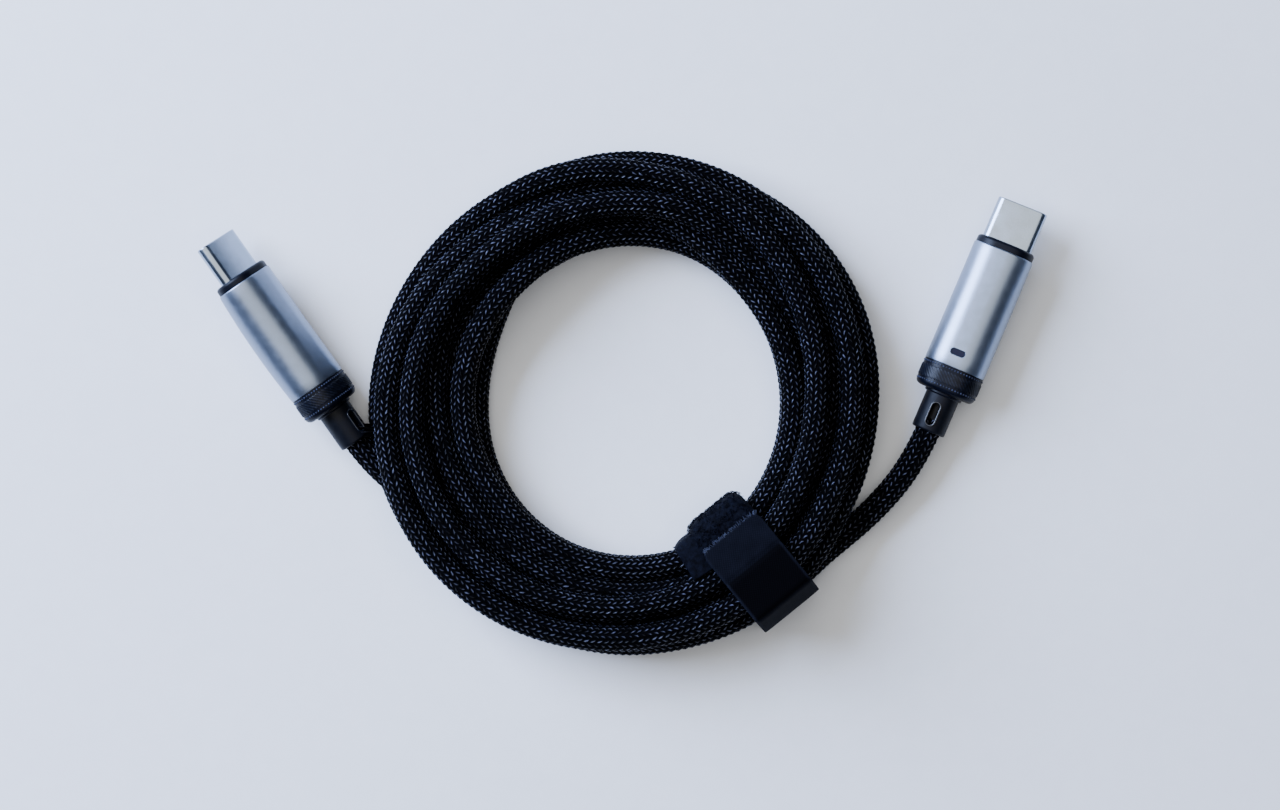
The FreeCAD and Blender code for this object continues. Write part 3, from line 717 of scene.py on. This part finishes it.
def makeTwill(side):
    # the band of fine diagonal ridges round the rear collar, and its rows of small beads
    wide, thick = rearCollar["wide"], rearCollar["thick"]
    total = 2 * (wide - thick) + math.pi * thick
    ridges = round(total / twill["pitch"])
    around, along = ridges * 4, 14
    shape = bmesh.new()
    bmesh.ops.create_grid(shape, x_segments=around, y_segments=along, size=0.5)
    raised = shape.verts.layers.float.new("raised")
    back, front = twill["back"], twill["front"]
    for vert in shape.verts:
        part, rise = vert.co.x + 0.5, vert.co.y + 0.5
        spot, normal = ovalSpot(part, wide - twill["inset"], thick - twill["inset"])
        turns = part * ridges + rise * (front - back) / twill["pitch"]
        wave = 0.5 + 0.5 * math.cos(2 * math.pi * turns)
        edge = min(1.0, rise * 8, (1 - rise) * 8)            # the band's borders sink into the collar
        spot = spot + normal * (twill["height"] * wave * edge - twill["sink"] * (1 - edge))
        # painted highlight mask: high on the ridges' crowns
        vert[raised] = max(0.0, 1.6 * wave - 0.9) * edge * 0.5
        vert.co = (spot.x, spot.y, back + rise * (front - back))
    bmesh.ops.remove_doubles(shape, verts=shape.verts, dist=1e-4)
    shape.faces.ensure_lookup_table()
    middle = shape.faces[0].calc_center_median()
    giveThickness(shape, twill["thick"], Vector((middle.x, middle.y, 0)))
    small = bmesh.new()
    bmesh.ops.create_icosphere(small, subdivisions=1, radius=twill["beadRadius"])
    # the beads get the full painted highlight
    crownHighlight = small.verts.layers.float.new("raised")
    for vert in small.verts:
        vert[crownHighlight] = 1.0
    bead = keepMesh(small, "bead")
    beads = round(total / twill["beadPitch"])
    inset = twill["beadInset"]
    for row, at in enumerate(twill["beadRows"]):
        for i in range(beads):
            spot = ovalSpot((i + 0.5 * (row % 2)) / beads, wide - inset, thick - inset)[0]
            addCopy(shape, bead, Matrix.Translation((spot.x, spot.y, at)))
    bpy.data.meshes.remove(bead)
    finishPiece(shape, f"{side}CollarTwill", knurlFinish, alongPlug(side), sharp=60)


relief = {"front": 7.0, "wide": 5.5, "thick": 5.2, "wall": 0.62, "edge": 0.35, "innerEdge": 0.2,
          "slotLong": 3.7, "slotWide": 1.3, "slotAt": 2.85, "slotFlare": 0.14,
          "rimMore": 0.5, "rimWall": 0.27, "rimTall": 0.22, "rimSunk": 0.1, "rimEdge": 0.1}


def makeRelief(side):
    stations = [(at, relief["wide"], relief["thick"], 0) for at in (0, relief["front"])]
    rims = [(0, True, relief["edge"], 4), (0, False, relief["innerEdge"], 2)]
    shape = ovalTube(stations, relief["wall"], rims, 10)
    piece = finishPiece(shape, f"{side}StrainRelief", reliefFinish, alongPlug(side))
    cutSlot(piece, plugFrame(side), relief["slotAt"], relief["slotLong"], relief["slotWide"],
            relief["thick"] / 2, relief["slotFlare"], True)
    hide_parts(f"{side}_strain_relief")
    # the polished bead round the slot
    rim = bmesh.new()
    face = ovalSheet(rim, relief["slotLong"] + relief["rimMore"], relief["slotWide"] + relief["rimMore"], 8)
    bmesh.ops.inset_region(rim, faces=face, thickness=relief["rimWall"], use_even_offset=True,
                           use_boundary=True)
    bmesh.ops.delete(rim, geom=face, context="FACES_ONLY")
    pullUp(rim, list(rim.faces), relief["rimTall"])
    top = [edge for edge in rim.edges if edge.calc_face_angle(0) > 0.9
           and all(vert.co.z > relief["rimTall"] * 0.9 for vert in edge.verts)]
    roundEdges(rim, top, relief["rimEdge"], 3)
    sunk = relief["thick"] / 2 - relief["rimSunk"]
    bmesh.ops.translate(rim, vec=(relief["slotAt"], 0, sunk), verts=rim.verts)
    finishPiece(rim, f"{side}SlotRim", polishedFinish, plugFrame(side))


for side in ("left", "right"):
    makeSleeve(side)
    makeShell(side)
    makeFrontCollar(side)
    makeRearCollar(side)
    makeTwill(side)
    makeRelief(side)
print("plugs done")


strap = {"bearing": 51, "width": 11.0,
         # corners are (radius, height) from the coil's axis
         "band": {"corners": [(39, 13.6), (21.95, 13.6), (21.95, 0.45), (38.5, 0.45)],
                  "bends": [4.75, 4.75], "thick": 0.9, "wave": 0.05, "edge": 0.1, "curl": 1.7,
                  "curlFrom": 11},
         "tail": {"corners": [(38.5, 0.35), (41.9, 0.35), (41.9, 9.7), (39.5, 14.75), (26.0, 14.75)],
                  "bends": [1.2, 2.5, 1.0], "thick": 0.7},
         "corner": 1.2, "cornerLong": 2.5, "creaseDip": 0.16, "creaseWide": 0.35, "edgeDip": 0.06,
         "crease": 32.1, "hinge": (32.8, 31.4), "top": 14.75, "lanes": 20, "selvedge": 0.25}
outward = Vector((math.cos(math.radians(strap["bearing"])), -math.sin(math.radians(strap["bearing"])), 0))
sideways = outward.cross(Vector((0, 0, 1)))


def roundedLine(corners, bends, gap=0.35):  # evenly spaced (radius, height) points with an arc at each bend
    line = [Vector(corners[0])]
    for before, corner, after, bend in zip(corners, corners[1:], corners[2:], bends):
        before, corner, after = Vector(before), Vector(corner), Vector(after)
        back, on = (before - corner).normalized(), (after - corner).normalized()
        half = back.angle(on) / 2
        reach = bend / math.tan(half)
        centre = corner + (back + on).normalized() * bend / math.sin(half)
        start, stop = corner + back * reach - centre, corner + on * reach - centre
        sweep = start.angle_signed(stop)
        for i in range(9):
            line.append(centre + Matrix.Rotation(-sweep * i / 8, 2) @ start)
    line.append(Vector(corners[-1]))
    line = np.array([tuple(p) for p in line])
    gone = np.concatenate([[0], np.cumsum(np.linalg.norm(np.diff(line, axis=0), axis=1))])
    even = np.linspace(0, gone[-1], int(gone[-1] / gap) + 1)
    return np.column_stack([np.interp(even, gone, line[:, i]) for i in (0, 1)]), even


def strapSpot(radius, height, across):
    return outward * radius + sideways * across + Vector((0, 0, height))


def makeStrip(name, layout, width, material, body, shaping=None, wearAndSheen=None, place=None):
    # a flat tape along a line: a grid bent along it, then given its thickness
    line, gone = roundedLine(layout["corners"], layout["bends"])
    tangent = np.gradient(line, axis=0)
    tangent /= np.linalg.norm(tangent, axis=1)[:, None]
    normal = np.column_stack([tangent[:, 1], -tangent[:, 0]])
    shape = bmesh.new()
    steps = len(line) - 1
    bmesh.ops.create_grid(shape, x_segments=steps, y_segments=strap["lanes"], size=0.5)
    alongLayer = shape.verts.layers.float.new("along")
    acrossLayer = shape.verts.layers.float.new("across")
    for vert in shape.verts:
        index = int(round((vert.co.x + 0.5) * steps))
        across = vert.co.y * width
        radius, height = line[index] + normal[index] * layout["thick"] / 2
        slip, lift, widen = shaping(gone[index], gone[-1], across) if shaping else (0, 0, 0)
        radius += tangent[index][0] * slip + normal[index][0] * lift
        height += tangent[index][1] * slip + normal[index][1] * lift
        vert[alongLayer], vert[acrossLayer] = gone[index], across
        vert.co = strapSpot(radius, height, across * (1 + widen))
    shape.faces.ensure_lookup_table()
    giveThickness(shape, layout["thick"], outward * normal[0][0] + Vector((0, 0, normal[0][1])))
    edges = [edge for edge in shape.edges if edge.is_manifold and edge.calc_face_angle() > 1.2]
    roundEdges(shape, edges, layout["thick"] * 0.28, 2)
    uvLayer = shape.loops.layers.uv.new("UVMap")
    for face in shape.faces:
        for loop in face.loops:
            loop[uvLayer].uv = (loop.vert[alongLayer], loop.vert[acrossLayer])
    wearAndSheenLayer = shape.verts.layers.float.new("wearAndSheen")
    for vert in shape.verts:
        vert[wearAndSheenLayer] = wearAndSheen(vert.co) if wearAndSheen else 0.0
    piece = finishPiece(shape, name, material, place, body, 50)
    return piece, line, normal, gone


def bandShape(at, total, across):  # soft, slightly wavy edges
    band = strap["band"]
    edge = (abs(across) / (strap["width"] / 2)) ** 8
    curl = max(0.0, min(1.0, (at - band["curlFrom"]) / 5))   # the edges roll in round the inner bend
    wave = band["wave"] * (math.sin(at * 1.3 + across) - 1)
    return 0.0, wave - (band["edge"] + band["curl"] * curl) * edge, -0.03 * curl


band, bandLine, bandNormal, bandGone = makeStrip("strapBand", strap["band"], strap["width"], pileFinish,
                                                 cableBody, bandShape)
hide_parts("strap_band")

underlay = {"corners": [(29.5, 12.6), (27.0, 12.4), (23.45, 11.6), (23.45, 1.9), (24.6, 1.5)],
            "bends": [3.0, 2.0, 0.6], "thick": 0.9, "turned": 7.0}


def underlayShape(at, total, across):  # a soft lobe: its edges and its end roll in
    edge = abs(across) / (strap["width"] / 2)
    return 0.0, -0.9 * edge**5, 0.0


# the strap's first turn lies a little askew and shows beside the band
makeStrip("strapUnderlay", underlay, strap["width"], pileFinish, cableBody, underlayShape,
          place=Matrix.Rotation(-math.radians(underlay["turned"]), 4, "Z"))


def tailShape(at, total, across):
    # the free end has rounded corners; the tape dips where it creases and its edges turn down a little
    left = total - at
    corner = strap["corner"]
    beyond = max(0.0, abs(across) - strap["width"] / 2 + corner)
    pull = corner - math.sqrt(max(0.0, corner**2 - beyond**2)) if left < strap["cornerLong"] else 0.0
    slip = -pull * max(0.0, 1 - left / strap["cornerLong"])
    fromCrease = left - (strap["crease"] - strap["tail"]["corners"][-1][0])
    dip = -strap["creaseDip"] * math.exp(-(fromCrease / strap["creaseWide"]) ** 2)
    edge = (abs(across) / (strap["width"] / 2)) ** 6
    return slip, dip - strap["edgeDip"] * edge, 0.0


def tailWearAndSheen(co):  # pale where the free end is rubbed and along the selvedges, a painted sheen on the slanting outer fold, darker over the top
    radius = co.dot(outward)
    if abs(co.dot(sideways)) > strap["width"] / 2 - strap["selvedge"]:
        return 0.9
    if co.z > 14 and radius < strap["crease"]:
        return 0.62
    if radius > 39.5 and co.z > 9.5:                         # the slanting outer fold: a painted sheen, lighter for the way it faces
        return 0.55
    return 0.04


tail = makeStrip("strapTail", strap["tail"], strap["width"], tapeFinish, None, tailShape,
                 tailWearAndSheen)[0]
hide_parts("strap_tail", "strap_tab")
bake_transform(tail)


pile = {"loops": 1500, "reach": 0.28, "yarn": 0.045, "seed": 7, "from": 5.5, "to": 30.0, "width": 0.96,
        "lean": 0.35, "sizes": (0.7, 1.5), "onSide": 0.65, "pressed": 0.5, "covered": 26.0, "lowest": 1.5}


def makeLoops():
    # the pile: small arches of yarn standing on the band's outer face
    arch = bmesh.new()
    ring = bmesh.ops.create_circle(arch, segments=4, radius=pile["yarn"],
                                   matrix=Matrix.Translation((pile["reach"], 0, 0)))
    bmesh.ops.spin(arch, geom=ring["verts"] + list(arch.edges), cent=(0, 0, 0), axis=(0, 1, 0),
                   angle=-math.pi, steps=5)
    bmesh.ops.holes_fill(arch, edges=[edge for edge in arch.edges if edge.is_boundary], sides=0)
    loopMesh = keepMesh(arch, "loop")
    chance = np.random.default_rng(pile["seed"])
    shape = bmesh.new()
    for i in range(pile["loops"]):
        at = chance.uniform(pile["from"], pile["to"])
        across = chance.uniform(-pile["width"] / 2, pile["width"] / 2) * strap["width"]
        index = int(np.interp(at, bandGone, np.arange(len(bandGone))))
        lift = bandShape(at, bandGone[-1], across)[1]
        radius, height = bandLine[index] + bandNormal[index] * (strap["band"]["thick"] / 2 + lift)
        size = pile["pressed"]                               # under the free end
        if radius <= pile["covered"]:
            size = chance.uniform(*pile["sizes"]) * (1 if bandNormal[index][1] > 0.8 else pile["onSide"])
        if height < pile["lowest"]:
            continue
        up = (outward * bandNormal[index][0] + Vector((0, 0, bandNormal[index][1]))).normalized()
        axis = (up + Vector(chance.normal(size=3)) * pile["lean"]).normalized()
        turn = axis.to_track_quat("Z", "X").to_matrix().to_4x4()
        turn = turn @ Matrix.Rotation(chance.uniform(0, math.pi), 4, "Z")
        place = Matrix.Translation(strapSpot(radius, height, across)) @ turn @ Matrix.Scale(size, 4)
        addCopy(shape, loopMesh, place)
    bpy.data.meshes.remove(loopMesh)
    finishPiece(shape, "strapPile", pileFinish, sharp=80)


makeLoops()

fringe = {"fibres": 150, "thick": 0.05, "long": 0.75, "seed": 11, "width": 0.92, "rooted": (0.3, 0.6),
          "height": (-0.2, 0.25), "upward": (-0.2, 0.7), "sideways": 0.7, "sizes": (0.8, 1.4)}


def makeFringe():
    # the tape's cut end: pale yarn ends, frayed
    fibre = bmesh.new()
    bmesh.ops.create_circle(fibre, cap_ends=True, segments=4, radius=fringe["thick"])
    pullUp(fibre, list(fibre.faces), fringe["long"], (0.5, 0.5))
    fibreMesh = keepMesh(fibre, "fibre")
    chance = np.random.default_rng(fringe["seed"])
    end, top = strap["tail"]["corners"][-1]
    shape = bmesh.new()
    for i in range(fringe["fibres"]):
        across = chance.uniform(-fringe["width"] / 2, fringe["width"] / 2) * strap["width"]
        upward = Vector((0, 0, chance.uniform(*fringe["upward"])))
        lean = (upward - outward + sideways * chance.normal() * fringe["sideways"]).normalized()
        root = end + chance.uniform(*fringe["rooted"])
        start = strapSpot(root, top + chance.uniform(*fringe["height"]), across)
        turn = lean.to_track_quat("Z", "X").to_matrix().to_4x4()
        size = chance.uniform(*fringe["sizes"])
        addCopy(shape, fibreMesh, Matrix.Translation(start) @ turn @ Matrix.Scale(size, 4))
    bpy.data.meshes.remove(fibreMesh)
    finishPiece(shape, "strapFringe", fibreFinish, body=strapBody)


# drawn nylon filament: pale blue-grey ends
fibreFinish = grainFinish("frayedNylonYarn", {"IOR": 1.53, "Specular IOR Level": 0.2}, "#10141f", "#4c5268",
                          0.25, 0.003, (0.4, 0.6))
makeFringe()

hooks = {"from": 27.1, "to": 31.3, "width": 9.6, "base": 14.41, "pitch": 0.6, "stem": 0.07, "tall": 0.2,
         "cap": 0.15, "capTall": 0.05}


def makeHooks():
    # the hook tape's mushroom hooks, under the free end
    shape = bmesh.new()
    stem = bmesh.new()
    bmesh.ops.create_circle(stem, cap_ends=True, segments=6, radius=hooks["stem"])
    faces = pullUp(stem, list(stem.faces), hooks["tall"])
    faces = pullUp(stem, faces, 0.0, (hooks["cap"] / hooks["stem"],) * 2)
    pullUp(stem, faces, hooks["capTall"])
    hookMesh = keepMesh(stem, "hook")
    rows = int((hooks["to"] - hooks["from"]) / hooks["pitch"])
    lanes = int(hooks["width"] / hooks["pitch"])
    for row in range(rows + 1):
        for lane in range(lanes + 1):
            radius = hooks["from"] + row * hooks["pitch"]
            across = -hooks["width"] / 2 + lane * hooks["pitch"]
            spot = Matrix.Translation(strapSpot(radius, hooks["base"], across))
            addCopy(shape, hookMesh, spot @ Matrix.Rotation(math.pi, 4, "X"))
    bpy.data.meshes.remove(hookMesh)
    piece = finishPiece(shape, "strapHooks", hookFinish, body=strapBody)
    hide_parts("hook_patch")


# nylon hooks, black and glossy at their heads
hookFinish = grainFinish("mouldedNylonHooks", {"IOR": 1.53}, "#07080c", "#101218", 0.15, 0.003, (0.25, 0.4))
makeHooks()
print("strap done")


for name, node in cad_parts.items():
    part = name.split("_", 1)[1] if name.startswith(("left_", "right_")) else name
    if part in insideFinishes:
        node.data.materials.clear()
        node.data.materials.append(insideFinishes[part])
        for slotPlace in node.material_slots:
            slotPlace.material = insideFinishes[part]
print("inside done")


stage = {"floor": 3.0, "clear": 0.00002, "sky": "#bccdf2", "skyStrength": 0.12,
         "lamps": {"window": {"place": (-0.6, 0.34, 0.42), "size": 0.6, "power": 30.0, "tone": "#bfd3ff"},
                   "ceiling": {"place": (-0.1, 0.15, 1.0), "size": 1.3, "power": 10.0, "tone": "#fbf8f2"}}}


def makeStage():
    shape = bmesh.new()
    bmesh.ops.create_grid(shape, x_segments=2, y_segments=2, size=stage["floor"] / 2)
    mesh = keepMesh(shape, "floor")
    floor = addObject("floor", mesh)
    floor.location.z = -stage["clear"]
    mesh.materials.append(grainFinish("paleFloor", {"Roughness": 0.9, "Specular IOR Level": 0.2},
                                      "#f0f2f6", "#f6f8fb", 4.0, 0.001))
    world = bpy.data.worlds.new("softRoom")
    world.use_nodes = True
    background = world.node_tree.nodes["Background"]
    background.inputs["Color"].default_value = tone(stage["sky"])
    background.inputs["Strength"].default_value = stage["skyStrength"]
    bpy.context.scene.world = world
    for name, lamp in stage["lamps"].items():
        light = bpy.data.lights.new(name, "AREA")
        light.energy, light.size, light.color = lamp["power"], lamp["size"], tone(lamp["tone"])[:3]
        holder = addObject(name, light)
        holder.location = lamp["place"]
        holder.rotation_euler = (-Vector(lamp["place"])).to_track_quat("-Z", "Y").to_euler()


view = {"middle": (0.00254, -0.00032), "above": 0.456, "across": 0.2032, "depth": 0.006}


def makeCamera():
    data = bpy.data.cameras.new("camera")
    data.sensor_width = 36
    data.lens = 36 * (view["above"] - view["depth"]) / view["across"]
    camera = addObject("camera", data)
    camera.location = (*view["middle"], view["above"])
    bpy.context.scene.camera = camera


makeStage()
makeCamera()
print("stage done")
